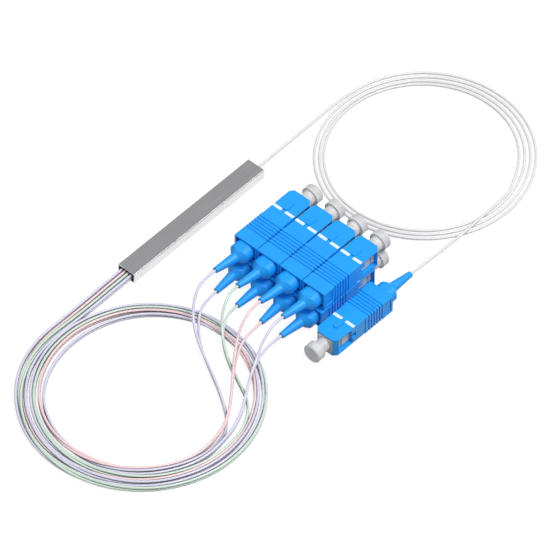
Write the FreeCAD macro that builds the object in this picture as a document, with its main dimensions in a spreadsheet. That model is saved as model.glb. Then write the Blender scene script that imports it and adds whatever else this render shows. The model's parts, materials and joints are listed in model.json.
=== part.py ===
"""An eight-way fibre-optic splitter, in millimetres.

A flat steel tube holds the splitter chip between two fibre blocks.  One input lead and eight output
leads come out of its ends.  Each lead is a 0.9 mm buffered fibre that ends in a push-pull plug: a
sliding housing over a plug frame, a sprung ferrule, a boot and a dust cap.

+X runs along the tube towards the input lead, +Z is up, and the origin is the middle of the tube's
underside, which lies on the same surface as everything else.
"""
import FreeCAD, Part
import math
import os
import re

import Sketcher

Vector = FreeCAD.Vector
doc = FreeCAD.newDocument("FibreSplitter")

# ---------------------------------------------------------------------------------------------
# Driving dimensions
# ---------------------------------------------------------------------------------------------
# In a plug's own frame, x runs from the housing's rear (0) to its front, y across, z up from its
# underside.  Distances called "at" are x positions in that frame.
SIZES = {
    # steel tube, a folded strip with small outside corners
    "tube_length": 60.0,
    "tube_width": 7.0,
    "tube_height": 4.0,
    "tube_wall": 0.3,
    "tube_corner": 0.4,
    # the chip and the two fibre blocks, end to end on the tube's floor
    "chip_length": 16.0,
    "chip_width": 3.0,
    "chip_height": 2.4,
    "chip_lid_setback": 3.0,
    "chip_lid_height": 0.9,
    "block_length": 10.0,
    "block_width": 5.6,
    "block_height": 3.2,
    "block_shelf": 2.5,
    "block_shelf_height": 0.5,
    # the seals in the tube's ends
    "seal_length": 3.0,
    "seal_inset": 1.6,
    "seal_gap": 0.02,
    # fibres
    "fibre_width": 0.9,
    "fibre_hole": 1.0,
    "lane_pitch": 1.27,
    "lower_lane_height": 1.35,
    "upper_lane_height": 2.6,
    "input_lane_height": 2.0,
    # coils lying on the surface
    "output_coil_x": -62.5,
    "output_coil_y": -36.4,
    "output_coil_outer": 39.9,
    "output_coil_inner": 28.7,
    "output_coil_bulge": 5.0,
    "output_coil_thick": 1.85,
    "input_coil_x": 71.1,
    "input_coil_y": -34.4,
    "input_coil_outer": 36.3,
    "input_coil_inner": 28.9,
    "input_coil_thick": 1.0,
    # plug housing: an open sleeve, narrower outside and inside towards its front
    "housing_length": 26.3,
    "housing_width": 9.2,
    "housing_nose_width": 8.8,
    "housing_height": 7.0,
    "housing_step_at": 12.55,
    "housing_cut": 1.2,
    "housing_cut_length": 1.4,
    "housing_edge": 0.15,
    "mouth_width": 7.8,
    "mouth_height": 5.8,
    "mouth_step_at": 16.4,
    "mouth_nose_width": 6.3,
    # a shallow panel on each side, then the grip: grooves all round
    "panel_at": 0.8,
    "panel_end": 3.9,
    "panel_low": 0.9,
    "panel_high": 6.1,
    "panel_depth": 0.25,
    "groove_first_at": 5.0,
    "groove_pitch": 1.22,
    "groove_count": 6,
    "groove_width": 0.5,
    "groove_depth": 0.3,
    # key on the housing's top
    "key_at": 18.1,
    "key_length": 3.8,
    "key_width": 1.7,
    "key_height": 0.5,
    "key_round": 0.8,
    # side windows, each with a slot behind it and a tab below the slot
    "window_at": 19.0,
    "window_end": 24.7,
    "window_low": 0.6,
    "window_high": 6.4,
    "slot_at": 16.8,
    "slot_low": 2.6,
    "slot_high": 4.4,
    "tab_end": 18.45,
    # plug frame, with a notch on each side for the adapter's latches
    "frame_at": 8.0,
    "frame_end": 26.4,
    "frame_width": 7.2,
    "frame_step_at": 14.4,
    "frame_nose_width": 6.1,
    "frame_height": 5.6,
    "frame_corner": 0.5,
    "frame_rear_bore": 4.9,
    "frame_shoulder_at": 17.5,
    "frame_shoulder": 0.8,
    "frame_throat": 2.7,
    "frame_front_bore": 4.9,
    "frame_notch_at": 22.0,
    "frame_notch_end": 23.5,
    "frame_notch_depth": 0.45,
    # ferrule, its flange and its spring
    "ferrule_width": 2.5,
    "ferrule_end": 27.6,
    "ferrule_chamfer": 0.3,
    "ferrule_hole_depth": 2.0,
    "flange_at": 14.5,
    "flange_width": 4.7,
    "spring_width": 4.2,
    "spring_wire": 0.5,
    "spring_turns": 4.0,
    "spring_gap": 0.05,
    # rear stop behind the frame
    "stop_at": 1.0,
    "stop_spigot_end": 9.5,
    "stop_spigot": 4.6,
    "stop_hole": 1.6,
    # boot
    "boot_base_width": 7.2,
    "boot_base_height": 5.5,
    "boot_base_corner": 2.5,
    "boot_base_length": 2.7,
    "boot_shoulder_length": 2.2,
    "boot_shoulder_radius": 3.9,
    "boot_tail_length": 8.0,
    "boot_tail_root": 3.4,
    "boot_tail_tip": 2.0,
    # dust cap
    "cap_at": 22.5,
    "cap_head_at": 29.8,
    "cap_end": 32.7,
    "cap_neck": 4.7,
    "cap_head": 6.5,
    "cap_bore": 2.6,
    "cap_bore_end": 28.6,
    "cap_rim": 0.35,
    "cap_loose": 0.6,
    # where the plugs lie: two layers of four, and the input plug turned the other way
    "first_row_y": -25.95,
    "row_pitch": 9.5,
    "upper_row_x": -3.28,
    "lower_row_x": -4.5,
    "input_plug_x": 15.75,
    "input_plug_y": -66.0,
    # how far each boot's tip bends aside, in its plug's own frame
    "upper_lean": 0.9,
    "lower_lean_out": -0.6,
    "lower_lean_in": 0.5,
    "input_lean": 0.4,
}
ROWS = 4
LOWER_LEANS = ("lower_lean_out", "0", "lower_lean_out", "lower_lean_in")
STRAIGHT = 0.45     # share of the shorter run that an arc takes at each end
LEAST_BEND = 5.0    # smallest bend radius, in fibre diameters
VOLUME_SLACK = 1e-3  # how far a tube's volume may be from section times length, as a share

sheet = doc.addObject("Spreadsheet::Sheet", "Sizes")
for line, (alias, size) in enumerate(SIZES.items(), start=1):
    sheet.set(f"A{line}", alias)
    sheet.set(f"B{line}", str(size))
    sheet.setAlias(f"B{line}", alias)
doc.recompute()

parts = {}          # node name: the object whose shape it is


# ---------------------------------------------------------------------------------------------
# Helpers
# ---------------------------------------------------------------------------------------------
def size(alias):
    """A driving dimension, for the shapes that are computed here."""
    return float(sheet.get(alias))


def named(text):
    """An expression with each dimension's name pointed at the sheet."""
    return re.sub(r"[a-z][a-z_]+", lambda word: f"Sizes.{word.group()}", text)


def bind(thing, path, text):
    thing.setExpression(path, named(text))


def value(thing, text):
    return float(thing.evalExpression(named(text)))


def new_body(name, seat=None):
    """A body for one node, placed at its seat (x, y, z expressions and a turn about Z)."""
    body = doc.addObject("PartDesign::Body", name)
    body.Label = name
    if seat:
        place(body, seat)
    parts[name] = body
    return body


def place(thing, seat):
    x, y, z, turn = seat
    thing.Placement = FreeCAD.Placement(Vector(), FreeCAD.Rotation(Vector(0, 0, 1), turn))
    bind(thing, ".Placement.Base.x", x)
    bind(thing, ".Placement.Base.y", y)
    bind(thing, ".Placement.Base.z", z)


def new_sketch(body, role, name, up=None, along=None):
    """A sketch on one of the body's planes, raised along its normal and shifted along its own y."""
    sketch = body.newObject("Sketcher::SketchObject", name)
    plane = next(f for f in body.Origin.OriginFeatures if f.Role == role)
    sketch.AttachmentSupport = (plane, [""])
    sketch.MapMode = "FlatFace"
    if up:
        bind(sketch, ".AttachmentOffset.Base.z", up)
    if along:
        bind(sketch, ".AttachmentOffset.Base.y", along)
    return sketch


def draw_outline(sketch, corners):
    """A closed outline of straight lines, each corner held by its two expressions."""
    spots = [Vector(value(sketch, x), value(sketch, y), 0) for x, y in corners]
    first = sketch.GeometryCount
    count = len(spots)
    for i, spot in enumerate(spots):
        sketch.addGeometry(Part.LineSegment(spot, spots[(i + 1) % count]))
    for i in range(count):
        ends = (first + i, 2, first + (i + 1) % count, 1)
        sketch.addConstraint(Sketcher.Constraint("Coincident", *ends))
    for i, (spot, corner) in enumerate(zip(spots, corners)):
        for kind, here, text in (("DistanceX", spot.x, corner[0]), ("DistanceY", spot.y, corner[1])):
            held = sketch.addConstraint(Sketcher.Constraint(kind, -1, 1, first + i, 1, here))
            bind(sketch, f"Constraints[{held}]", text)


def draw_rectangle(sketch, x_low, x_high, y_low, y_high):
    draw_outline(sketch, [(x_low, y_low), (x_high, y_low), (x_high, y_high), (x_low, y_high)])


def draw_circle(sketch, x, y, across):
    centre = Vector(value(sketch, x), value(sketch, y), 0)
    index = sketch.addGeometry(Part.Circle(centre, Vector(0, 0, 1), value(sketch, across) / 2))
    for kind, here, text in (("DistanceX", centre.x, x), ("DistanceY", centre.y, y)):
        held = sketch.addConstraint(Sketcher.Constraint(kind, -1, 1, index, 3, here))
        bind(sketch, f"Constraints[{held}]", text)
    held = sketch.addConstraint(Sketcher.Constraint("Diameter", index, value(sketch, across)))
    bind(sketch, f"Constraints[{held}]", across)


def pad(body, sketch, name, length, middle=False, back=False):
    feature = body.newObject("PartDesign::Pad", name)
    feature.Profile = sketch
    bind(feature, "Length", length)
    feature.Midplane = middle
    feature.Reversed = back
    return feature


def pocket(body, sketch, name, length, middle=False, back=False):
    """Back is true where the cut runs along the sketch's normal."""
    feature = body.newObject("PartDesign::Pocket", name)
    feature.Profile = sketch
    bind(feature, "Length", length)
    feature.Midplane = middle
    feature.Reversed = back
    return feature


def revolve(body, sketch, name, kind="Revolution"):
    feature = body.newObject(f"PartDesign::{kind}", name)
    feature.Profile = sketch
    feature.ReferenceAxis = (sketch, ["H_Axis"])
    feature.Angle = 360
    return feature


def loft(body, first, last, name, kind="Additive"):
    feature = body.newObject(f"PartDesign::{kind}Loft", name)
    feature.Profile = first
    feature.Sections = [last]
    feature.Ruled = True
    return feature


def row_of(body, features, name, pitch, count):
    """Repeats features along the body's X axis."""
    pattern = body.newObject("PartDesign::LinearPattern", name)
    pattern.Originals = features
    axis = next(f for f in body.Origin.OriginFeatures if f.Role == "X_Axis")
    pattern.Direction = (axis, [""])
    bind(pattern, "Length", f"{pitch} * ( {count} - 1 )")
    bind(pattern, "Occurrences", count)
    body.Tip = pattern
    return pattern


def edges_of(feature, wanted):
    """The names of the edges that a test picks out by their two ends."""
    doc.recompute()
    names = []
    for i, edge in enumerate(feature.Shape.Edges, start=1):
        if len(edge.Vertexes) == 2 and wanted(edge.Vertexes[0].Point, edge.Vertexes[1].Point):
            names.append(f"Edge{i}")
    return names


def dress(body, feature, kind, name, amount, wanted):
    """A fillet or a chamfer along chosen edges."""
    dressing = body.newObject(f"PartDesign::{kind}", name)
    dressing.Base = (feature, edges_of(feature, wanted))
    bind(dressing, "Radius" if kind == "Fillet" else "Size", amount)
    return dressing


def along_x(a, b):
    return abs(a.y - b.y) < 1e-6 and abs(a.z - b.z) < 1e-6


# ---------------------------------------------------------------------------------------------
# The steel tube and what is sealed inside it
# ---------------------------------------------------------------------------------------------
def steel_tube():
    body = new_body("steel_tube")
    skin = new_sketch(body, "YZ_Plane", "tube_skin")
    draw_rectangle(skin, "-tube_width / 2", "tube_width / 2", "0", "tube_height")
    solid = pad(body, skin, "tube_solid", "tube_length", middle=True)
    dress(body, solid, "Fillet", "tube_corners", "tube_corner", along_x)
    hollow = new_sketch(body, "YZ_Plane", "tube_hollow")
    draw_rectangle(
        hollow,
        "tube_wall - tube_width / 2",
        "tube_width / 2 - tube_wall",
        "tube_wall",
        "tube_height - tube_wall",
    )
    pocket(body, hollow, "tube_opening", "tube_length + 2", middle=True)


def lidded_block(name, middle, turn, sizes, both_ends=False):
    """A glass block with a lid that is set back from its front end, or from both ends."""
    length, width, height, setback, lid_height = sizes
    body = new_body(name, (middle, "0", "tube_wall", turn))
    profile = new_sketch(body, "XZ_Plane", f"{name}_side")
    end = f"{length} / 2"
    lid_end = f"( {length} / 2 - {setback} )"
    shelf = f"{height} - {lid_height}"
    corners = [(f"0 - {end}", "0"), (end, "0"), (end, shelf), (lid_end, shelf), (lid_end, height)]
    if both_ends:
        corners += [(f"0 - {lid_end}", height), (f"0 - {lid_end}", shelf), (f"0 - {end}", shelf)]
    else:
        corners.append((f"0 - {end}", height))
    draw_outline(profile, corners)
    pad(body, profile, f"{name}_solid", width, middle=True)


def lane(number):
    """The y expression of a fibre's lane in the tube, from 0 on the +Y side to 3."""
    return f"lane_pitch * {1.5 - number}"


def end_seal(name, middle, holes):
    """A soft plug in the tube's end, with a hole for each fibre."""
    body = new_body(name, (middle, "0", "0", 0))
    face = new_sketch(body, "YZ_Plane", f"{name}_face")
    draw_rectangle(
        face,
        "tube_wall + seal_gap - tube_width / 2",
        "tube_width / 2 - tube_wall - seal_gap",
        "tube_wall",
        "tube_height - tube_wall - seal_gap",
    )
    for y, z in holes:
        draw_circle(face, y, z, "fibre_hole")
    pad(body, face, f"{name}_solid", "seal_length", middle=True)


# ---------------------------------------------------------------------------------------------
# One plug
# ---------------------------------------------------------------------------------------------
AXIS = "housing_height / 2"


def plug_housing(name, seat):
    body = new_body(name, seat)
    plan = new_sketch(body, "XY_Plane", f"{name}_plan")
    wide = "housing_width / 2"
    nose = "housing_nose_width / 2"
    half = [
        ("0", wide),
        ("housing_step_at", wide),
        ("housing_step_at", nose),
        ("housing_length - housing_cut_length", nose),
        ("housing_length", f"{nose} - housing_cut"),
    ]
    other_half = [(x, f"0 - ( {y} )") for x, y in reversed(half)]
    draw_outline(plan, half + other_half)
    block = pad(body, plan, f"{name}_block", "housing_height")
    dress(body, block, "Chamfer", f"{name}_edges", "housing_edge", along_x)

    mouth = new_sketch(body, "YZ_Plane", f"{name}_mouth", along=AXIS)
    draw_rectangle(mouth, "-mouth_width / 2", "mouth_width / 2", "-mouth_height / 2", "mouth_height / 2")
    pocket(body, mouth, f"{name}_rear_sleeve", "mouth_step_at", back=True)
    front = new_sketch(body, "YZ_Plane", f"{name}_front_mouth", up="mouth_step_at", along=AXIS)
    narrow = "mouth_nose_width / 2"
    draw_rectangle(front, f"0 - {narrow}", narrow, "-mouth_height / 2", "mouth_height / 2")
    pocket(body, front, f"{name}_front_sleeve", "housing_length", back=True)

    key = new_sketch(body, "XY_Plane", f"{name}_key_plan", up="housing_height")
    draw_rectangle(key, "key_at", "key_at + key_length", "-key_width / 2", "key_width / 2")
    rail = pad(body, key, f"{name}_key", "key_height")
    key_front = size("key_at") + size("key_length")

    def key_corners(a, b):
        upright = abs(a.x - b.x) < 1e-6 and abs(a.y - b.y) < 1e-6
        return upright and abs(a.x - key_front) < 1e-6 and min(a.z, b.z) > size("housing_height") - 1e-6

    dress(body, rail, "Fillet", f"{name}_key_nose", "key_round", key_corners)

    window = new_sketch(body, "XZ_Plane", f"{name}_window_side")
    draw_outline(
        window,
        [
            ("tab_end", "window_low"),
            ("window_end", "window_low"),
            ("window_end", "window_high"),
            ("window_at", "window_high"),
            ("window_at", "slot_high"),
            ("slot_at", "slot_high"),
            ("slot_at", "slot_low"),
            ("tab_end", "slot_low"),
        ],
    )
    pocket(body, window, f"{name}_windows", "housing_width * 2", middle=True)

    panel = new_sketch(body, "XY_Plane", f"{name}_panel_plan", up="panel_low")
    floor = f"{wide} - panel_depth"
    draw_rectangle(panel, "panel_at", "panel_end", floor, f"{wide} + 1")
    draw_rectangle(panel, "panel_at", "panel_end", f"-1 - {wide}", f"0 - ( {floor} )")
    pocket(body, panel, f"{name}_panels", "panel_high - panel_low", back=True)

    groove = new_sketch(
        body, "YZ_Plane", f"{name}_groove_face", up="groove_first_at - groove_width / 2", along=AXIS
    )
    high = "housing_height / 2"
    draw_rectangle(groove, f"-1 - {wide}", f"{wide} + 1", f"-1 - {high}", f"{high} + 1")
    left_wide, left_high = f"( {wide} - groove_depth )", f"( {high} - groove_depth )"
    draw_rectangle(groove, f"0 - {left_wide}", left_wide, f"0 - {left_high}", left_high)
    cut = pocket(body, groove, f"{name}_groove", "groove_width", back=True)
    row_of(body, [cut], f"{name}_grip", "groove_pitch", "groove_count")


def plug_frame(name, seat):
    body = new_body(name, seat)
    plan = new_sketch(body, "XY_Plane", f"{name}_plan", up=AXIS)
    wide = "frame_width / 2"
    nose = "frame_nose_width / 2"
    half = [("frame_at", wide), ("frame_step_at", wide), ("frame_step_at", nose), ("frame_end", nose)]
    other_half = [(x, f"0 - {y}") for x, y in reversed(half)]
    draw_outline(plan, half + other_half)
    block = pad(body, plan, f"{name}_block", "frame_height", middle=True)
    dress(body, block, "Chamfer", f"{name}_edges", "frame_corner", along_x)
    notch = new_sketch(body, "XY_Plane", f"{name}_notch_plan", up=AXIS)
    bottom = f"{nose} - frame_notch_depth"
    draw_rectangle(notch, "frame_notch_at", "frame_notch_end", bottom, wide)
    draw_rectangle(notch, "frame_notch_at", "frame_notch_end", f"0 - {wide}", f"0 - ( {bottom} )")
    pocket(body, notch, f"{name}_notches", "frame_height * 2", middle=True)
    bore = new_sketch(body, "XZ_Plane", f"{name}_bore_side", along=AXIS)
    shoulder_end = "frame_shoulder_at + frame_shoulder"
    draw_outline(
        bore,
        [
            ("frame_at - 1", "0"),
            ("frame_end + 1", "0"),
            ("frame_end + 1", "frame_front_bore / 2"),
            (shoulder_end, "frame_front_bore / 2"),
            (shoulder_end, "frame_throat / 2"),
            ("frame_shoulder_at", "frame_throat / 2"),
            ("frame_shoulder_at", "frame_rear_bore / 2"),
            ("frame_at - 1", "frame_rear_bore / 2"),
        ],
    )
    revolve(body, bore, f"{name}_bore", "Groove")


def ferrule(name, seat):
    """The ceramic pin in its flange, with the hole that the fibre enters."""
    body = new_body(name, seat)
    side = new_sketch(body, "XZ_Plane", f"{name}_side", along=AXIS)
    draw_outline(
        side,
        [
            ("flange_at", "fibre_hole / 2"),
            ("flange_at", "flange_width / 2"),
            ("frame_shoulder_at", "flange_width / 2"),
            ("frame_shoulder_at", "ferrule_width / 2"),
            ("ferrule_end - ferrule_chamfer", "ferrule_width / 2"),
            ("ferrule_end", "ferrule_width / 2 - ferrule_chamfer"),
            ("ferrule_end", "0"),
            ("flange_at + ferrule_hole_depth", "0"),
            ("flange_at + ferrule_hole_depth", "fibre_hole / 2"),
        ],
    )
    revolve(body, side, f"{name}_turned")


def dust_cap(name, seat):
    body = new_body(name, seat)
    side = new_sketch(body, "XZ_Plane", f"{name}_side", along=AXIS)
    draw_outline(
        side,
        [
            ("cap_at", "cap_bore / 2"),
            ("cap_at", "cap_neck / 2"),
            ("cap_head_at", "cap_neck / 2"),
            ("cap_head_at", "cap_head / 2"),
            ("cap_end - cap_rim", "cap_head / 2"),
            ("cap_end", "cap_head / 2 - cap_rim"),
            ("cap_end", "0"),
            ("cap_bore_end", "0"),
            ("cap_bore_end", "cap_bore / 2"),
        ],
    )
    revolve(body, side, f"{name}_moulding")


def boot(name, seat, lean):
    """A rounded base in the housing's mouth, a shoulder, and a tapered tail whose tip leans aside."""
    body = new_body(name, seat)
    shoulder_end = "0 - boot_base_length - boot_shoulder_length"
    face = new_sketch(body, "YZ_Plane", f"{name}_face", up=shoulder_end, along=AXIS)
    wide, high = "boot_base_width / 2", "boot_base_height / 2"
    draw_rectangle(face, f"0 - {wide}", wide, f"0 - {high}", high)
    base = pad(body, face, f"{name}_base", "boot_base_length + boot_shoulder_length + stop_at")
    dress(body, base, "Fillet", f"{name}_base_corners", "boot_base_corner", along_x)
    beyond = new_sketch(body, "XZ_Plane", f"{name}_shoulder_side", along=AXIS)
    draw_outline(
        beyond,
        [
            (shoulder_end, "boot_tail_root / 2"),
            ("0 - boot_base_length", "boot_shoulder_radius"),
            ("0 - boot_base_length", "boot_base_width"),
            (f"{shoulder_end} - 1", "boot_base_width"),
            (f"{shoulder_end} - 1", "boot_tail_root / 2"),
        ],
    )
    revolve(body, beyond, f"{name}_shoulder", "Groove")

    tip = f"{shoulder_end} - boot_tail_length"
    tail_root = new_sketch(body, "YZ_Plane", f"{name}_tail_root", up=shoulder_end, along=AXIS)
    draw_circle(tail_root, "0", "0", "boot_tail_root")
    tail_tip = new_sketch(body, "YZ_Plane", f"{name}_tail_tip", up=tip, along=AXIS)
    draw_circle(tail_tip, lean, "0", "boot_tail_tip")
    loft(body, tail_root, tail_tip, f"{name}_tail")

    hole_root = new_sketch(body, "YZ_Plane", f"{name}_hole_root", up=shoulder_end, along=AXIS)
    draw_circle(hole_root, "0", "0", "fibre_hole")
    hole_tip = new_sketch(body, "YZ_Plane", f"{name}_hole_tip", up=tip, along=AXIS)
    draw_circle(hole_tip, lean, "0", "fibre_hole")
    loft(body, hole_root, hole_tip, f"{name}_tail_hole", "Subtractive")
    through = new_sketch(body, "YZ_Plane", f"{name}_hole_face", up=shoulder_end, along=AXIS)
    draw_circle(through, "0", "0", "fibre_hole")
    pocket(body, through, f"{name}_base_hole", "boot_tail_length", back=True)


def rear_stop(name):
    """The piece that closes the plug frame behind the spring."""
    body = new_body(name)
    face = new_sketch(body, "YZ_Plane", f"{name}_face", up="stop_at", along=AXIS)
    draw_rectangle(face, "-frame_width / 2", "frame_width / 2", "-frame_height / 2", "frame_height / 2")
    block = pad(body, face, f"{name}_block", "frame_at - stop_at")
    dress(body, block, "Chamfer", f"{name}_edges", "frame_corner", along_x)
    round_face = new_sketch(body, "YZ_Plane", f"{name}_spigot_face", up="stop_at", along=AXIS)
    draw_circle(round_face, "0", "0", "stop_spigot")
    pad(body, round_face, f"{name}_spigot", "stop_spigot_end - stop_at")
    hole = new_sketch(body, "YZ_Plane", f"{name}_hole_face", along=AXIS)
    draw_circle(hole, "0", "0", "stop_hole")
    pocket(body, hole, f"{name}_hole", "stop_spigot_end * 4", middle=True)
    return body


def spring_shape():
    """A compression spring between the rear stop and the flange, its wire square in section."""
    wire = size("spring_wire")
    start = size("stop_spigot_end") + size("spring_gap") + wire / 2
    length = size("flange_at") - size("spring_gap") - wire / 2 - start
    radius = (size("spring_width") - wire) / 2
    turn = Part.makeHelix(length / size("spring_turns"), length, radius)
    half = wire / 2
    corners = [(-half, -half), (half, -half), (half, half), (-half, half)]
    section = Part.makePolygon([Vector(radius + x, 0, z) for x, z in corners + corners[:1]])
    coil = Part.Wire(turn).makePipeShell([section], True, True)
    coil.rotate(Vector(), Vector(0, 1, 0), 90)
    coil.translate(Vector(start, 0, size("housing_height") / 2))
    return coil


def copies(name, shape, places):
    """One node that holds a like piece at every plug."""
    group = doc.addObject("Part::Feature", name)
    group.Label = name
    solids = []
    for placement in places:
        piece = shape.copy()
        piece.Placement = placement.multiply(shape.Placement)
        solids.append(piece)
    group.Shape = Part.makeCompound(solids)
    parts[name] = group


# ---------------------------------------------------------------------------------------------
# Fibres and coils
# ---------------------------------------------------------------------------------------------
def fibre_tube(name, route):
    """Straight runs joined by arcs as large as the runs allow.  Prints the tightest bend."""
    route = [Vector(*point) for point in route]
    runs = [(b - a).Length for a, b in zip(route, route[1:])]
    edges = []
    start = route[0]
    tightest = math.inf
    for i in range(1, len(route) - 1):
        before = (route[i] - route[i - 1]).normalize()
        after = (route[i + 1] - route[i]).normalize()
        turn = before.getAngle(after)
        reach = STRAIGHT * min(runs[i - 1], runs[i])
        radius = reach / math.tan(turn / 2)
        tightest = min(tightest, radius)
        arc_start = route[i] - before * reach
        arc_end = route[i] + after * reach
        inward = (after - before).normalize()
        middle = route[i] + inward * (radius / math.cos(turn / 2) - radius)
        edges.append(Part.LineSegment(start, arc_start).toShape())
        edges.append(Part.Arc(arc_start, middle, arc_end).toShape())
        start = arc_end
    edges.append(Part.LineSegment(start, route[-1]).toShape())
    path = Part.Wire(edges)
    across = size("fibre_width")
    ring = Part.Wire(Part.makeCircle(across / 2, route[0], route[1] - route[0]))
    tube = path.makePipeShell([ring], True, False)
    expected = math.pi * across**2 / 4 * path.Length
    off = tube.Volume / expected - 1
    ratio = max(max(a / b, b / a) for a, b in zip(runs, runs[1:]))
    print(
        f"{name}: {len(route)} points, {path.Length:.1f} long, tightest bend {tightest:.1f},"
        f" runs {min(runs):.1f} to {max(runs):.1f}, ratio {ratio:.2f}, volume off {off:.5f}"
    )
    if abs(off) > VOLUME_SLACK or not tube.isValid():
        raise RuntimeError(f"{name}: the tube's volume is wrong")
    if tightest < LEAST_BEND * across - 0.05:
        print(f"  {name}: a bend is under {LEAST_BEND} diameters")
    return tube


def tubes(name, routes):
    group = doc.addObject("Part::Feature", name)
    group.Label = name
    made = [fibre_tube(f"{name} {i}", route) for i, route in enumerate(routes, start=1)]
    group.Shape = made[0] if len(made) == 1 else Part.makeCompound(made)
    parts[name] = group


def output_coil():
    """The two turns of eight fibres: a flat ring, narrower on the side towards the plugs."""
    body = new_body("output_coil", ("output_coil_x", "output_coil_y", "0", 0))
    plan = new_sketch(body, "XY_Plane", "output_coil_plan")
    draw_circle(plan, "0", "0", "output_coil_outer * 2")
    pad(body, plan, "output_coil_disc", "output_coil_thick")
    for name, x in (("output_coil_opening", "0"), ("output_coil_bulge", "output_coil_bulge")):
        hole = new_sketch(body, "XY_Plane", f"{name}_plan")
        draw_circle(hole, x, "0", "output_coil_inner * 2")
        pocket(body, hole, name, "output_coil_thick * 2", middle=True)


def input_coil():
    """The spiral of the input fibre: a flat ring one fibre thick."""
    body = new_body("input_coil", ("input_coil_x", "input_coil_y", "0", 0))
    plan = new_sketch(body, "XY_Plane", "input_coil_plan")
    draw_circle(plan, "0", "0", "input_coil_outer * 2")
    draw_circle(plan, "0", "0", "input_coil_inner * 2")
    pad(body, plan, "input_coil_ring", "input_coil_thick")


# The routes' points, (x, y, z).  A pair is the lower and the upper fibre of one colour.
LOW = 0.46          # height of a fibre's middle on the surface
HIGH = 1.42         # and of one that lies on another
OVER_LOW = 2.5      # and of a pair that crosses over another pair
OVER_HIGH = 3.46
LEAD_SHARE = 0.35   # how much of the way aside is done halfway to the coil
LEAD_DROP = 0.1     # how far a fibre sinks between its block and the tube's end
LEAD_RISE = 0.15    # how far above its rest it still is halfway to the coil


def lead_out(number, low, y_at_coil):
    """From the fibre block, out of the tube, down to the surface and on to the coil."""
    y = size("lane_pitch") * (1.5 - number)
    height = size("lower_lane_height") if low else size("upper_lane_height")
    rest = LOW if low else HIGH
    return [
        (-18.0, y, height),
        (-34.5, y, height - LEAD_DROP),
        (-50.0, y + (y_at_coil - y) * LEAD_SHARE, rest + LEAD_RISE),
        (-62.5, y_at_coil, rest),
    ]


FIBRE_PAIRS = {
    "fibre_pair_1": {
        "lane": 3,
        "coil_y": -1.1,
        "low": [
            (-66.0, -67.3, LOW), (-58.5, -66.3, LOW), (-52.6, -61.6, LOW), (-46.3, -53.0, LOW),
            (-40.7, -43.8, LOW), (-35.8, -36.2, 0.9), (-31.0, -30.2, 2.5), (-26.2, -27.4, 3.4),
            (-21.2, -26.82, 3.5), (-16.0, -26.45, 3.5),
        ],
        "high": [
            (-66.0, -67.3, HIGH), (-58.5, -66.3, HIGH), (-52.6, -61.6, HIGH), (-46.3, -53.0, HIGH),
            (-40.7, -43.8, 1.5), (-36.0, -36.5, 2.0), (-31.6, -30.6, 3.7), (-28.2, -27.4, 7.0),
            (-24.3, -25.6, 10.1), (-19.4, -24.71, 11.0), (-14.6, -25.22, 11.0),
        ],
    },
    "fibre_pair_2": {
        "lane": 2,
        "coil_y": 0.0,
        "low": [
            (-66.0, -71.3, LOW), (-56.0, -70.6, 0.9), (-47.5, -67.0, 1.6), (-42.6, -61.3, LOW),
            (-39.0, -54.4, LOW), (-35.8, -47.6, LOW), (-32.6, -42.2, 1.4), (-28.6, -38.2, 2.5),
            (-24.8, -36.1, 3.3), (-20.6, -35.45, 3.5), (-16.4, -35.45, 3.5),
        ],
        "high": [
            (-66.0, -71.3, HIGH), (-56.0, -70.6, 1.86), (-47.5, -67.0, 2.56), (-42.6, -61.3, HIGH),
            (-39.0, -54.4, HIGH), (-35.8, -47.8, HIGH), (-32.9, -42.6, 2.4), (-29.6, -38.8, 4.0),
            (-26.8, -36.1, 7.2), (-23.1, -35.1, 10.1), (-18.8, -34.27, 11.0), (-14.6, -34.72, 11.0),
        ],
    },
    "fibre_pair_3": {
        "lane": 1,
        "coil_y": 1.1,
        "low": [
            (-66.0, -65.8, 1.9), (-58.6, -65.2, OVER_LOW), (-52.0, -62.2, OVER_LOW),
            (-45.6, -57.7, 2.2), (-39.6, -52.9, OVER_LOW), (-34.2, -49.0, OVER_LOW),
            (-29.6, -46.9, 2.9), (-25.0, -46.0, 3.4), (-20.6, -45.78, 3.5), (-16.4, -45.48, 3.5),
        ],
        "high": [
            (-66.0, -65.8, 2.86), (-58.6, -65.2, OVER_HIGH), (-52.0, -62.2, OVER_HIGH),
            (-45.6, -57.7, 3.2), (-39.6, -53.0, OVER_HIGH), (-34.4, -49.4, OVER_HIGH),
            (-30.2, -46.7, 4.8), (-26.9, -45.2, 7.6), (-23.1, -44.4, 10.1), (-18.8, -43.77, 11.0),
            (-14.6, -44.22, 11.0),
        ],
    },
    "fibre_pair_4": {
        "lane": 0,
        "coil_y": 2.3,
        "low": [
            (-66.0, -68.6, 1.9), (-57.0, -67.4, 1.9), (-49.0, -64.8, OVER_LOW),
            (-42.0, -61.3, OVER_LOW), (-35.6, -57.6, 2.3), (-30.0, -55.1, 2.8), (-24.9, -54.0, 3.4),
            (-20.6, -53.76, 3.5), (-16.4, -54.01, 3.5),
        ],
        "high": [
            (-66.0, -68.6, 2.86), (-57.0, -67.4, 2.86), (-49.0, -64.8, OVER_HIGH),
            (-42.0, -61.4, OVER_HIGH), (-36.0, -58.1, 3.4), (-31.1, -55.9, 4.8), (-27.2, -54.4, 7.6),
            (-23.1, -53.8, 10.1), (-18.8, -53.27, 11.0), (-14.6, -53.72, 11.0),
        ],
    },
}
INPUT_ROUTES = [
    [(18.0, 0.0, 2.0), (34.0, 0.0, 1.95), (51.0, 0.35, 0.7), (68.0, 0.15, 0.5)],
    [
        (84.0, -62.6, 0.5), (74.5, -64.9, 0.9), (62.5, -66.0, 1.9), (50.0, -66.6, 2.5),
        (38.0, -66.84, 3.3), (26.8, -66.31, 3.5),
    ],
]


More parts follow.
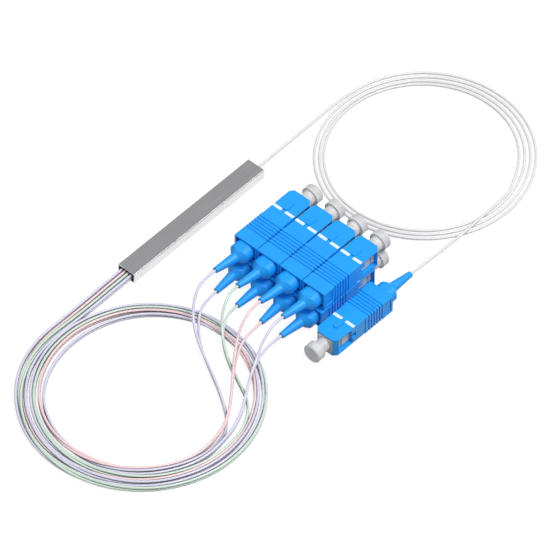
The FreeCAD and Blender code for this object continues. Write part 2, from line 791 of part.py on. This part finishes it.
def output_fibres():
    for name, pair in FIBRE_PAIRS.items():
        routes = []
        for low in (True, False):
            routes.append(lead_out(pair["lane"], low, pair["coil_y"]))
            routes.append(pair["low" if low else "high"])
        tubes(name, routes)


# ---------------------------------------------------------------------------------------------
# The whole splitter
# ---------------------------------------------------------------------------------------------
def plug_seats():
    """{plug name: (x, y, z, turn)}: outputs 1 to 4 above, 5 to 8 below them, then the input."""
    seats = {}
    for layer, (x, z) in enumerate((("upper_row_x", "housing_height + key_height"), ("lower_row_x", "0"))):
        for row in range(ROWS):
            y = f"first_row_y - row_pitch * {row}"
            seats[f"output_{layer * ROWS + row + 1}"] = (x, y, z, 0)
    seats["input"] = ("input_plug_x", "input_plug_y", "0", 180)
    return seats


def boot_leans():
    """{plug name: how far its boot's tip leans aside}."""
    leans = {f"output_{row + 1}": "upper_lean" for row in range(ROWS)}
    leans.update({f"output_{ROWS + row + 1}": lean for row, lean in enumerate(LOWER_LEANS)})
    leans["input"] = "input_lean"
    return leans


def cap_seat(seat):
    """The lower row's caps aren't pushed home."""
    x, y, z, turn = seat
    return (f"{x} + cap_loose" if x == "lower_row_x" else x, y, z, turn)


steel_tube()
chip = ("chip_length", "chip_width", "chip_height", "chip_lid_setback", "chip_lid_height")
lidded_block("splitter_chip", "0", 0, chip, both_ends=True)
block = ("block_length", "block_width", "block_height", "block_shelf", "block_shelf_height")
block_middle = "( chip_length + block_length ) / 2"
lidded_block("input_fibre_block", block_middle, 0, block)
lidded_block("output_fibre_block", f"0 - {block_middle}", 180, block)
seal_middle = "tube_length / 2 - seal_inset - seal_length / 2"
end_seal("input_seal", seal_middle, [("0", "input_lane_height")])
output_holes = [(lane(n), z) for z in ("lower_lane_height", "upper_lane_height") for n in range(ROWS)]
end_seal("output_seal", f"0 - ( {seal_middle} )", output_holes)

seats = plug_seats()
leans = boot_leans()
for plug, seat in seats.items():
    plug_housing(f"{plug}_housing", seat)
    plug_frame(f"{plug}_plug_frame", seat)
    ferrule(f"{plug}_ferrule", seat)
    dust_cap(f"{plug}_dust_cap", cap_seat(seat))
    boot(f"{plug}_boot", seat, leans[plug])
stop = rear_stop("rear_stop_pattern")
del parts["rear_stop_pattern"]
output_coil()
input_coil()
doc.recompute()

places = [parts[f"{plug}_housing"].Placement for plug in seats]
copies("rear_stops", stop.Shape, places)
copies("ferrule_springs", spring_shape(), places)
output_fibres()
tubes("input_fibre", INPUT_ROUTES)
doc.recompute()

# ---------------------------------------------------------------------------------------------
# Checks, then one file for each node
# ---------------------------------------------------------------------------------------------
for thing in doc.Objects:
    if "Invalid" in thing.State or "Error" in thing.State:
        raise RuntimeError(f"{thing.Label}: {thing.State}")
for name, thing in parts.items():
    if thing.Shape.isNull() or not thing.Shape.isValid() or not thing.Shape.Solids:
        raise RuntimeError(f"{name}: no valid solid")
os.makedirs("parts", exist_ok=True)
for name, thing in parts.items():
    thing.Shape.exportStep(f"parts/{name}.step")
print(f"{len(parts)} nodes written")
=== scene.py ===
"""The finish, fibres, springs, marks and view of an eight-way fibre-optic splitter.

Metres, in the part's own frame.  The fibres' routes are written in mm.
"""
import json
import math

import bmesh
import bpy
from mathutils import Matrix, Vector

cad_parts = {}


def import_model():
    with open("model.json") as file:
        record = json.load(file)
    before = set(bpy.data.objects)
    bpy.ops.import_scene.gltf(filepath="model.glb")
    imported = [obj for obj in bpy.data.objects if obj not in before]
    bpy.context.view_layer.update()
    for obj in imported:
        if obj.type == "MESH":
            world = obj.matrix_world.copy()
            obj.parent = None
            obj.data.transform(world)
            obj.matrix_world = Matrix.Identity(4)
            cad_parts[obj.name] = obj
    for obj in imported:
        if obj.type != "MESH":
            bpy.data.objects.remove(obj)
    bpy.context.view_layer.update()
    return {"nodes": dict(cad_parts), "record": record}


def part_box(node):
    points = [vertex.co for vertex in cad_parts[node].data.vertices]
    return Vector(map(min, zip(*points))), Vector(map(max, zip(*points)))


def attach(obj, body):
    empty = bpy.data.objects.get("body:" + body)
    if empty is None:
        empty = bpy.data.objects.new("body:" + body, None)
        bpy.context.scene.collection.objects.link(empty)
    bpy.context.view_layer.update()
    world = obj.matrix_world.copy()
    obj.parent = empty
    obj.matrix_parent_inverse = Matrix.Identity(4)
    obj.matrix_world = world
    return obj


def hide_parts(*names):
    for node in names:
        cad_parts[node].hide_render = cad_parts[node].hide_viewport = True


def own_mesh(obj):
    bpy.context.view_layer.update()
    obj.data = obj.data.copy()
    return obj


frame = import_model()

MM = 0.001
PLUGS = [f"output_{number}" for number in range(1, 9)] + ["input"]


def new_object(name, data):
    thing = bpy.data.objects.new(name, data)
    bpy.context.scene.collection.objects.link(thing)
    return thing


# ---------------------------------------------------------------------------------------------
# Material helpers
# ---------------------------------------------------------------------------------------------
def new_material(name):
    material = bpy.data.materials.new(name)
    material.use_nodes = True
    nodes = material.node_tree.nodes
    nodes.clear()
    return material, nodes, material.node_tree.links


def add(nodes, kind, **settings):
    """A node with its settings: attributes by name, inputs by their label."""
    node = nodes.new(kind)
    for key, value in settings.items():
        if hasattr(node, key):
            setattr(node, key, value)
        else:
            node.inputs[key.replace("_", " ")].default_value = value
    return node


def spotted(nodes, links, scale, stretch=(1.0, 1.0, 1.0), detail=3.0):
    """Noise over the object's own coordinates, from 0 to 1."""
    place = add(nodes, "ShaderNodeTexCoord")
    mapping = add(nodes, "ShaderNodeMapping", Scale=stretch)
    noise = add(nodes, "ShaderNodeTexNoise", Scale=scale, Detail=detail)
    links.new(place.outputs["Object"], mapping.inputs["Vector"])
    links.new(mapping.outputs["Vector"], noise.inputs["Vector"])
    return noise.outputs["Fac"]


def spread_over(nodes, links, source, low, high):
    """The noise's middle range mapped to low..high."""
    ranged = add(nodes, "ShaderNodeMapRange", From_Min=0.3, From_Max=0.7, To_Min=low, To_Max=high)
    links.new(source, ranged.inputs["Value"])
    return ranged.outputs["Result"]


def tinted(nodes, links, source, first, second):
    mix = add(nodes, "ShaderNodeMix", data_type="RGBA")
    mix.inputs[6].default_value = (*first, 1.0)
    mix.inputs[7].default_value = (*second, 1.0)
    links.new(source, mix.inputs["Factor"])
    return mix.outputs[2]


def moulded(name, colour, shade, roughness, grain=9000.0, bump=0.02, edge=0.12 * MM, **sockets):
    """A smooth material: soft edges, a fine grain and slightly uneven colour and gloss."""
    material, nodes, links = new_material(name)
    shader = add(nodes, "ShaderNodeBsdfPrincipled", **sockets)
    output = add(nodes, "ShaderNodeOutputMaterial")
    links.new(shader.outputs["BSDF"], output.inputs["Surface"])
    broad = spotted(nodes, links, 120.0)
    fine = spotted(nodes, links, grain, detail=2.0)
    links.new(tinted(nodes, links, broad, colour, shade), shader.inputs["Base Color"])
    low, high = roughness
    links.new(spread_over(nodes, links, broad, low, high), shader.inputs["Roughness"])
    soft = add(nodes, "ShaderNodeBevel", samples=4, Radius=edge)
    rough = add(nodes, "ShaderNodeBump", Strength=bump, Distance=0.02 * MM)
    links.new(soft.outputs["Normal"], rough.inputs["Normal"])
    links.new(fine, rough.inputs["Height"])
    links.new(rough.outputs["Normal"], shader.inputs["Normal"])
    return material


def brushed(name, colour, shade, roughness):
    """Bright steel with fine lines along X."""
    material, nodes, links = new_material(name)
    shader = add(nodes, "ShaderNodeBsdfPrincipled", Metallic=1.0)
    output = add(nodes, "ShaderNodeOutputMaterial")
    links.new(shader.outputs["BSDF"], output.inputs["Surface"])
    lines = spotted(nodes, links, 2500.0, stretch=(0.02, 1.0, 1.0), detail=4.0)
    cloud = spotted(nodes, links, 90.0)
    links.new(tinted(nodes, links, cloud, colour, shade), shader.inputs["Base Color"])
    low, high = roughness
    links.new(spread_over(nodes, links, lines, low, high), shader.inputs["Roughness"])
    bump = add(nodes, "ShaderNodeBump", Strength=0.05, Distance=0.01 * MM)
    links.new(lines, bump.inputs["Height"])
    links.new(bump.outputs["Normal"], shader.inputs["Normal"])
    return material


BLUE = (0.010, 0.385, 1.0)
BLUE_DEEP = (0.008, 0.35, 0.95)
LAVENDER = (0.78, 0.76, 0.92)
GREEN = (0.71, 0.86, 0.74)
PINK = (1.0, 0.74, 0.76)
CLEAR = (0.88, 0.87, 0.88)


PAINTED_SHADE_REACH = 2.0 * MM      # how near fibres lie for the shade painted into their colour
PAINTED_SHADE_DEPTH = 0.3           # share of the colour that is left in that painted shade


def deeper(colour, share=0.9):
    return tuple(channel * share for channel in colour)


def buffer(name, colour):
    """A fibre's smooth buffer."""
    return moulded(
        name, colour, deeper(colour), (0.28, 0.4), grain=5000.0, bump=0.01, edge=0.02 * MM,
        Coat_Weight=0.15, Coat_Roughness=0.2,
    )


def painted_shade_buffer(name, colour):
    """A buffer with deep shade painted into its colour where fibres lie close together."""
    material = buffer(name, colour)
    nodes, links = material.node_tree.nodes, material.node_tree.links
    shader = next(node for node in nodes if node.type == "BSDF_PRINCIPLED")
    tint = shader.inputs["Base Color"].links[0].from_socket
    # Painted shade: the base colour darkens where other fibres or the floor lie near.
    close = add(nodes, "ShaderNodeAmbientOcclusion", samples=12, Distance=PAINTED_SHADE_REACH)
    shut = add(nodes, "ShaderNodeMapRange", From_Min=0.25, From_Max=0.75, To_Min=0.0, To_Max=1.0)
    links.new(close.outputs["AO"], shut.inputs["Value"])
    mix = add(nodes, "ShaderNodeMix", data_type="RGBA")
    mix.inputs[6].default_value = (*deeper(colour, PAINTED_SHADE_DEPTH), 1.0)
    links.new(tint, mix.inputs[7])
    links.new(shut.outputs["Result"], mix.inputs["Factor"])
    links.new(mix.outputs[2], shader.inputs["Base Color"])
    return material


materials = {
    "steel": brushed("steel", (0.81, 0.80, 0.80), (0.74, 0.73, 0.73), (0.28, 0.42)),
    "spring_steel": brushed("spring_steel", (0.7, 0.7, 0.7), (0.6, 0.6, 0.6), (0.2, 0.3)),
    "housing_blue": moulded("housing_blue", BLUE, BLUE_DEEP, (0.38, 0.5)),
    "boot_blue": moulded("boot_blue", BLUE, BLUE_DEEP, (0.42, 0.55), edge=0.2 * MM),
    "frame_plastic": moulded(
        "frame_plastic", (0.78, 0.74, 0.68), (0.70, 0.66, 0.60), (0.4, 0.55),
    ),
    "ceramic": moulded(
        "ceramic", (0.9, 0.9, 0.88), (0.86, 0.86, 0.84), (0.1, 0.16), bump=0.0,
    ),
    "cap_clear": moulded(
        "cap_clear", (0.91, 0.905, 0.905), (0.85, 0.845, 0.85), (0.3, 0.42),
        Transmission_Weight=0.35, IOR=1.45,
    ),
    "mark_white": moulded(
        "mark_white", (0.79, 0.92, 0.97), (0.75, 0.88, 0.94), (0.45, 0.6), edge=0.02 * MM,
    ),
    "seal_dark": moulded("seal_dark", (0.02, 0.02, 0.022), (0.03, 0.03, 0.03), (0.6, 0.8)),
    "block_glass": moulded(
        "block_glass", (0.7, 0.74, 0.76), (0.66, 0.7, 0.72), (0.06, 0.12), bump=0.0,
    ),
    "chip_glass": moulded(
        "chip_glass", (0.35, 0.38, 0.42), (0.3, 0.33, 0.37), (0.06, 0.12), bump=0.0,
    ),
    # The coiled fibres' colours carry painted shade where they lie close together.
    "fibre_lavender": painted_shade_buffer("fibre_lavender", LAVENDER),
    "fibre_green": painted_shade_buffer("fibre_green", GREEN),
    "fibre_pink": painted_shade_buffer("fibre_pink", PINK),
    "fibre_clear": buffer("fibre_clear", CLEAR),
}


def dress_nodes():
    """Gives every CAD node the material of its slot."""
    for part in frame["record"]["subparts"]:
        mesh_object = frame["nodes"][part["node"]]
        mesh_object.data.materials.clear()
        mesh_object.data.materials.append(materials[part["material_slot"]])


# ---------------------------------------------------------------------------------------------
# Fibres
# ---------------------------------------------------------------------------------------------
FIBRE = 0.9             # diameter, in mm as all the routes are
LOW, HIGH = 0.46, 1.42  # a fibre's middle on the surface, and on another fibre
OVER_LOW, OVER_HIGH = 2.5, 3.46     # the same where a pair lies over another pair
LANES = (1.905, 0.635, -0.635, -1.905)  # y of each pair in the tube
STEP = 30.0             # degrees from one point of a coil to the next


def station(radii, travelled):
    """The radius so many degrees along a coil, between the two quarter turns next to there."""
    place = travelled / 90.0
    index = min(int(place), len(radii) - 2)
    share = place - index
    return radii[index] * (1 - share) + radii[index + 1] * share


def coil_points(centre, quarters, first_angle, turn_way, spot):
    """The corners of the many-sided figure that a coil touches, one for each step of its turns.

    spot gives the radius and the height so many degrees along.
    """
    points = []
    for i in range(round(quarters * 90.0 / STEP)):
        travelled = STEP * (i + 0.5)
        radius, height = spot(travelled)
        radius /= math.cos(math.radians(STEP / 2))
        angle = math.radians(first_angle + turn_way * travelled)
        x, y = centre[0] + radius * math.cos(angle), centre[1] + radius * math.sin(angle)
        points.append((x, y, height))
    return points


def fibre(name, points, material):
    """One smooth curve through the whole route."""
    curve = bpy.data.curves.new(name, "CURVE")
    curve.dimensions = "3D"
    curve.bevel_depth = FIBRE / 2 * MM
    curve.bevel_resolution = 3
    curve.use_fill_caps = True
    curve.resolution_u = 8
    spline = curve.splines.new("NURBS")
    spline.points.add(len(points) - 1)
    for point, (x, y, z) in zip(spline.points, points):
        point.co = (x * MM, y * MM, z * MM, 1.0)
    spline.order_u = 3
    spline.use_endpoint_u = True
    piece = new_object(name, curve)
    piece.data.materials.append(material)
    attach(piece, "base")
    return piece


OUTPUT_CENTRE, OUTPUT_QUARTERS = (-62.5, -36.4), 6
INPUT_CENTRE, INPUT_QUARTERS = (70.7, -34.25), 14
INPUT_REST = 0.5        # height of the input fibre's middle on the surface


def lead_out(lane, low, y_at_coil):
    """From the fibre block, out of the tube, down to the surface and on to the coil."""
    y = LANES[lane]
    height = 1.35 if low else 2.6
    rest = LOW if low else HIGH
    y_between = y + (y_at_coil - y) * 0.35
    return [(-18.0, y, height), (-34.5, y, height - 0.1), (-50.0, y_between, rest + 0.15)]


# Each pair's colour, its CAD node, its lane and where it starts the coil, its lower and upper plug,
# its radius at each quarter turn of the coil, and its two free ends from the coil to the boots.
OUTPUT_FIBRES = {
    "1": {
        "slot": "fibre_lavender", "node": "fibre_pair_1",
        "lane": 3, "coil_y": -1.1, "plugs": (5, 1),
        "stations": (35.2, 35.95, 36.5, 35.2, 28.9, 31.0, 31.9),
        "low": [
            (-58.5, -67.8, LOW), (-52.2, -63.4, LOW), (-45.6, -54.0, LOW),
            (-40.1, -44.1, LOW), (-35.6, -36.5, 0.9), (-30.4, -30.8, 2.5), (-25.8, -27.8, 3.4),
            (-21.2, -26.82, 3.5), (-16.0, -26.45, 3.5),
        ],
        "high": [
            (-58.5, -67.8, HIGH), (-52.2, -63.4, HIGH), (-45.6, -54.0, HIGH),
            (-40.1, -44.1, 1.5), (-36.1, -36.3, 2.0), (-32.0, -30.2, 3.7), (-28.5, -27.1, 7.0),
            (-24.5, -25.3, 10.1), (-19.4, -24.71, 11.0), (-14.6, -25.22, 11.0),
        ],
    },
    "2": {
        "slot": "fibre_green", "node": "fibre_pair_2",
        "lane": 2, "coil_y": 0.0, "plugs": (6, 2),
        "stations": (36.3, 38.35, 39.3, 37.6, 32.6, 33.6, 34.5),
        "low": [
            (-56.0, -71.3, 0.9), (-47.5, -67.8, 1.6), (-42.0, -62.1, LOW),
            (-38.3, -54.6, LOW), (-35.0, -47.9, LOW), (-31.6, -42.7, 1.4), (-28.0, -38.9, 2.5),
            (-24.3, -36.6, 3.3), (-20.6, -35.45, 3.5), (-16.4, -35.45, 3.5),
        ],
        "high": [
            (-56.0, -71.3, 1.86), (-47.5, -67.8, 2.56), (-42.0, -62.1, HIGH),
            (-38.3, -54.6, HIGH), (-35.0, -48.1, HIGH), (-31.8, -43.2, 2.4), (-28.9, -39.6, 4.0),
            (-26.1, -36.9, 7.2), (-22.7, -35.5, 10.1), (-18.8, -34.27, 11.0), (-14.6, -34.72, 11.0),
        ],
    },
    "3": {
        "slot": "fibre_pink", "node": "fibre_pair_3",
        "lane": 1, "coil_y": 1.1, "plugs": (7, 3),
        "stations": (37.4, 35.95, 35.3, 35.9, 31.7, 30.9, 30.6),
        "low": [
            (-58.6, -66.7, OVER_LOW), (-52.0, -63.6, OVER_LOW),
            (-45.6, -58.8, 2.2), (-39.5, -53.9, OVER_LOW), (-33.7, -49.8, OVER_LOW),
            (-29.2, -47.3, 2.9), (-24.9, -46.1, 3.4), (-20.6, -45.78, 3.5), (-16.4, -45.48, 3.5),
        ],
        "high": [
            (-58.6, -66.7, OVER_HIGH), (-52.0, -63.6, OVER_HIGH),
            (-45.6, -58.8, 3.2), (-39.6, -53.9, OVER_HIGH), (-34.4, -49.7, OVER_HIGH),
            (-30.2, -46.7, 4.8), (-26.9, -45.2, 7.6), (-23.1, -44.4, 10.1), (-18.8, -43.77, 11.0),
            (-14.6, -44.22, 11.0),
        ],
    },
    "4": {
        "slot": "fibre_lavender", "node": "fibre_pair_4",
        "lane": 0, "coil_y": 2.3, "plugs": (8, 4),
        "stations": (38.8, 38.35, 37.9, 38.3, 34.1, 33.6, 32.9),
        "low": [
            (-57.0, -69.0, 1.9), (-49.0, -66.2, OVER_LOW),
            (-42.0, -61.7, OVER_LOW), (-35.6, -57.5, 2.3), (-30.0, -55.1, 2.8), (-24.9, -54.0, 3.4),
            (-20.6, -53.76, 3.5), (-16.4, -54.01, 3.5),
        ],
        "high": [
            (-57.0, -69.0, 2.86), (-49.0, -66.2, OVER_HIGH),
            (-42.0, -61.8, OVER_HIGH), (-36.0, -58.0, 3.4), (-31.1, -55.9, 4.8),
            (-27.2, -54.4, 7.6), (-23.1, -53.8, 10.1), (-18.8, -53.27, 11.0),
            (-14.6, -53.72, 11.0),
        ],
    },
}
# Where two pairs change places in the coil: the degrees along, the inner pair, the outer pair, and
# 1 where the inner one passes over the other on its way out, or -1 where it passes under.
SWAPS = (
    (30.0, "2", "3", 1), (92.0, "2", "4", 1), (92.0, "1", "3", 1), (265.0, "4", "2", 1),
    (262.0, "3", "1", 1), (451.0, "2", "4", 1), (460.0, "1", "3", -1),
)
SWAP_LENGTH = 60.0      # degrees
SLOT = 0.52             # from the middle of four fibres to each one's middle, across and up


def place_in_coil(number, high, travelled):
    """The radius and height of one fibre of a pair.

    Where two pairs change places, their four fibres turn half round about their common middle, so
    that none goes through another.  The pair's upper fibre comes out of it as its lower one.  Just
    before and after, the two pairs lie side by side.
    """
    own = radius = station(OUTPUT_FIBRES[number]["stations"], travelled)
    for middle, inner, outer, over in SWAPS:
        if number not in (inner, outer):
            continue
        share = (travelled - middle) / SWAP_LENGTH + 0.5
        partner = outer if number == inner else inner
        other = station(OUTPUT_FIBRES[partner]["stations"], travelled)
        centre = (own + other) / 2
        across = -SLOT if number == inner else SLOT
        if 0 < share < 1:
            up = SLOT if high else -SLOT
            turned = over * math.pi * share
            radius = centre + across * math.cos(turned) + up * math.sin(turned)
            return radius, (LOW + HIGH) / 2 + up * math.cos(turned) - across * math.sin(turned)
        if share >= 1:
            high = not high
            across = -across
        if abs(share - 0.5) < 1:
            radius = centre + math.copysign(max(abs(own - other) / 2, SLOT), across)
    return radius, HIGH if high else LOW


def output_fibres():
    for number, facts in OUTPUT_FIBRES.items():
        swaps = sum(number in (inner, outer) for _, inner, outer, _ in SWAPS)
        for low, plug in zip((True, False), facts["plugs"]):
            starts_high = low if swaps % 2 else not low
            points = lead_out(facts["lane"], not starts_high, facts["coil_y"])
            points += coil_points(
                OUTPUT_CENTRE, OUTPUT_QUARTERS, 90.0, 1.0,
                lambda travelled: place_in_coil(number, starts_high, travelled),
            )
            points += facts["low" if low else "high"]
            piece = fibre(f"output_fibre_{plug}", points, materials[facts["slot"]])
            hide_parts(facts["node"], "output_coil")
            start = [value * MM for value in points[0]]


INPUT_STATIONS = (
    35.6, 35.9, 35.3, 35.3, 33.6, 34.2, 33.5, 33.6, 32.0, 32.4, 31.7, 32.0, 30.9, 30.7, 29.8,
)


def input_fibre():
    points = [(18.0, 0.0, 2.0), (34.0, 0.0, 1.95), (51.0, 0.8, 0.9)]
    points += coil_points(
        INPUT_CENTRE, INPUT_QUARTERS, 90.0, -1.0,
        lambda travelled: (station(INPUT_STATIONS, travelled), INPUT_REST),
    )
    points += [
        (74.5, -64.9, 0.9), (62.5, -66.0, 1.9), (50.0, -66.6, 2.5), (38.0, -66.84, 3.3),
        (26.8, -66.31, 3.5),
    ]
    piece = fibre("input_fibre_run", points, materials["fibre_clear"])
    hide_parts("input_fibre", "input_coil")
    start = [value * MM for value in points[0]]


# ---------------------------------------------------------------------------------------------
# Springs
# ---------------------------------------------------------------------------------------------
SAME_POINT = 0.0001 * MM


def loose_parts(shape):
    """The shape's separate solids in the mesh's own order, each as a list of its faces."""
    taken = set()
    for first in shape.faces:
        if first in taken:
            continue
        taken.add(first)
        part, waiting = [], [first]
        while waiting:
            face = waiting.pop()
            part.append(face)
            for edge in face.edges:
                for neighbour in edge.link_faces:
                    if neighbour not in taken:
                        taken.add(neighbour)
                        waiting.append(neighbour)
        yield part


def springs():
    """A piece of its own for each plug's spring."""
    grouped = frame["nodes"]["ferrule_springs"]
    shape = bmesh.new()
    shape.from_mesh(grouped.data)
    bmesh.ops.remove_doubles(shape, verts=shape.verts, dist=SAME_POINT)
    shape.transform(grouped.matrix_world)
    middles = {}
    for plug in PLUGS:
        low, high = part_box(f"{plug}_ferrule")
        middles[plug] = (low + high) / 2
    for part in loose_parts(shape):
        corners = list(dict.fromkeys(vert for face in part for vert in face.verts))
        middle = sum((vert.co for vert in corners), Vector()) / len(corners)
        plug = min(PLUGS, key=lambda name: (middles[name].yz - middle.yz).length)
        mesh = bpy.data.meshes.new(f"{plug}_spring")
        place = {vert: index for index, vert in enumerate(corners)}
        faces = [[place[vert] for vert in face.verts] for face in part]
        mesh.from_pydata([vert.co for vert in corners], [], faces)
        mesh.shade_smooth()
        piece = new_object(f"{plug}_spring", mesh)
        piece.data.materials.append(materials["spring_steel"])
        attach(piece, "base")
        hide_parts("ferrule_springs")
        rear = max if plug == "input" else min
        fixed_x = rear(vert.co.x for vert in corners)
        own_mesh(piece)
    shape.free()


# ---------------------------------------------------------------------------------------------
# Printed marks on the housings
# ---------------------------------------------------------------------------------------------
MARK_START, MARK_END = 17.0 * MM, 18.1 * MM     # from the housing's rear
MARK_INNER, MARK_OUTER = 0.78 * MM, 4.27 * MM   # from the housing's middle
MARK_HALF_THICK = 0.02 * MM
MARK_EDGE = 0.015 * MM
KEY_HEIGHT = 0.5 * MM


def marks(plug):
    """Two white bars on the housing's top, one each side of the key."""
    low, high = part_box(f"{plug}_housing")
    facing = -1.0 if plug == "input" else 1.0
    rear = high.x if facing < 0 else low.x
    middle = (low.y + high.y) / 2
    top = high.z - KEY_HEIGHT
    mesh = bpy.data.meshes.new(f"{plug}_marks")
    shape = bmesh.new()
    for side in (-1, 1):
        near, far = side * MARK_INNER, side * MARK_OUTER
        start, end = rear + facing * MARK_START, rear + facing * MARK_END
        corners = [(start, near), (end, near), (end, far), (start, far)]
        bottom = [shape.verts.new((x, middle + y, top - MARK_HALF_THICK)) for x, y in corners]
        upper = [shape.verts.new((x, middle + y, top + MARK_HALF_THICK)) for x, y in corners]
        shape.faces.new(upper)
        shape.faces.new(list(reversed(bottom)))
        for i in range(4):
            j = (i + 1) % 4
            shape.faces.new((bottom[i], bottom[j], upper[j], upper[i]))
    bmesh.ops.recalc_face_normals(shape, faces=shape.faces)
    bmesh.ops.bevel(shape, geom=list(shape.edges), offset=MARK_EDGE, segments=2, affect="EDGES")
    shape.to_mesh(mesh)
    shape.free()
    piece = new_object(f"{plug}_marks", mesh)
    piece.data.materials.append(materials["mark_white"])
    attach(piece, f"{plug}_sleeve")


# ---------------------------------------------------------------------------------------------
# Floor, light and camera
# ---------------------------------------------------------------------------------------------
FLOOR_HALF = 4.0
FLOOR_HEIGHT = -0.3 * MM
FLOOR_GLOW = 1.13
PAPER_SHARE = 0.22      # how much of the floor's look takes shadows
SKY_STRENGTH = 0.36


def floor():
    """White to the camera and in reflections, dim to everything else."""
    mesh = bpy.data.meshes.new("floor")
    sides = ((-1, -1), (1, -1), (1, 1), (-1, 1))
    corners = [(x * FLOOR_HALF, y * FLOOR_HALF, FLOOR_HEIGHT) for x, y in sides]
    mesh.from_pydata(corners, [], [(0, 1, 2, 3)])
    piece = new_object("floor", mesh)
    material, nodes, links = new_material("floor_white")
    output = add(nodes, "ShaderNodeOutputMaterial")
    path = add(nodes, "ShaderNodeLightPath")
    paper = add(nodes, "ShaderNodeBsdfDiffuse", Color=(0.9, 0.9, 0.9, 1.0))
    bright = add(nodes, "ShaderNodeEmission", Color=(1.0, 1.0, 1.0, 1.0), Strength=FLOOR_GLOW)
    seen = add(nodes, "ShaderNodeMixShader", Fac=PAPER_SHARE)
    links.new(bright.outputs["Emission"], seen.inputs[1])
    links.new(paper.outputs["BSDF"], seen.inputs[2])
    dim = add(nodes, "ShaderNodeBsdfDiffuse", Color=(0.12, 0.12, 0.125, 1.0))
    direct = add(nodes, "ShaderNodeMath", operation="MAXIMUM")
    direct_or_clear = add(nodes, "ShaderNodeMath", operation="MAXIMUM")
    links.new(path.outputs["Is Camera Ray"], direct.inputs[0])
    links.new(path.outputs["Is Glossy Ray"], direct.inputs[1])
    links.new(direct.outputs["Value"], direct_or_clear.inputs[0])
    links.new(path.outputs["Is Transmission Ray"], direct_or_clear.inputs[1])
    either = add(nodes, "ShaderNodeMixShader")
    links.new(direct_or_clear.outputs["Value"], either.inputs["Fac"])
    links.new(dim.outputs["BSDF"], either.inputs[1])
    links.new(seen.outputs["Shader"], either.inputs[2])
    links.new(either.outputs["Shader"], output.inputs["Surface"])
    piece.data.materials.append(material)


def world():
    """Pale to the camera, a soft grey sky to everything else."""
    sky = bpy.data.worlds.new("sky")
    bpy.context.scene.world = sky
    sky.use_nodes = True
    nodes, links = sky.node_tree.nodes, sky.node_tree.links
    nodes.clear()
    output = add(nodes, "ShaderNodeOutputWorld")
    path = add(nodes, "ShaderNodeLightPath")
    soft = add(nodes, "ShaderNodeBackground", Color=(0.95, 0.97, 1.0, 1.0), Strength=SKY_STRENGTH)
    pale = add(nodes, "ShaderNodeBackground", Color=(1.0, 1.0, 1.0, 1.0), Strength=1.0)
    mix = add(nodes, "ShaderNodeMixShader")
    links.new(path.outputs["Is Camera Ray"], mix.inputs["Fac"])
    links.new(soft.outputs["Background"], mix.inputs[1])
    links.new(pale.outputs["Background"], mix.inputs[2])
    links.new(mix.outputs["Shader"], output.inputs["Surface"])


def aimed(thing, azimuth, elevation, distance):
    """Puts a light or a camera so far from the target, looking at it."""
    a, e = math.radians(azimuth), math.radians(elevation)
    back = Vector((math.sin(a) * math.cos(e), -math.cos(a) * math.cos(e), math.sin(e)))
    thing.location = TARGET + back * distance
    thing.rotation_mode = "QUATERNION"
    thing.rotation_quaternion = (-back).to_track_quat("-Z", "Y")


def area_light(name, azimuth, elevation, distance, across, watts):
    light = bpy.data.lights.new(name, "AREA")
    light.shape = "DISK"
    light.size = across
    light.energy = watts
    aimed(new_object(name, light), azimuth, elevation, distance)


TARGET = Vector((3.575 * MM, -32.14 * MM, 0.0))
AZIMUTH, ELEVATION = -47.6, 48.2
DISTANCE = 3.0
LENS = 629.0


def camera():
    lens = bpy.data.cameras.new("camera")
    lens.sensor_width = 36.0
    lens.lens = LENS
    lens.clip_start = 0.1
    lens.clip_end = 20.0
    eye = new_object("camera", lens)
    aimed(eye, AZIMUTH, ELEVATION, DISTANCE)
    bpy.context.scene.camera = eye


bpy.context.scene.view_settings.view_transform = "Standard"
dress_nodes()
output_fibres()
input_fibre()
springs()
for plug in PLUGS:
    marks(plug)
floor()
world()
area_light("key", azimuth=15.0, elevation=64.0, distance=1.6, across=0.9, watts=20.3)
area_light("fill", azimuth=-120.0, elevation=35.0, distance=1.8, across=1.0, watts=3.2)
camera()
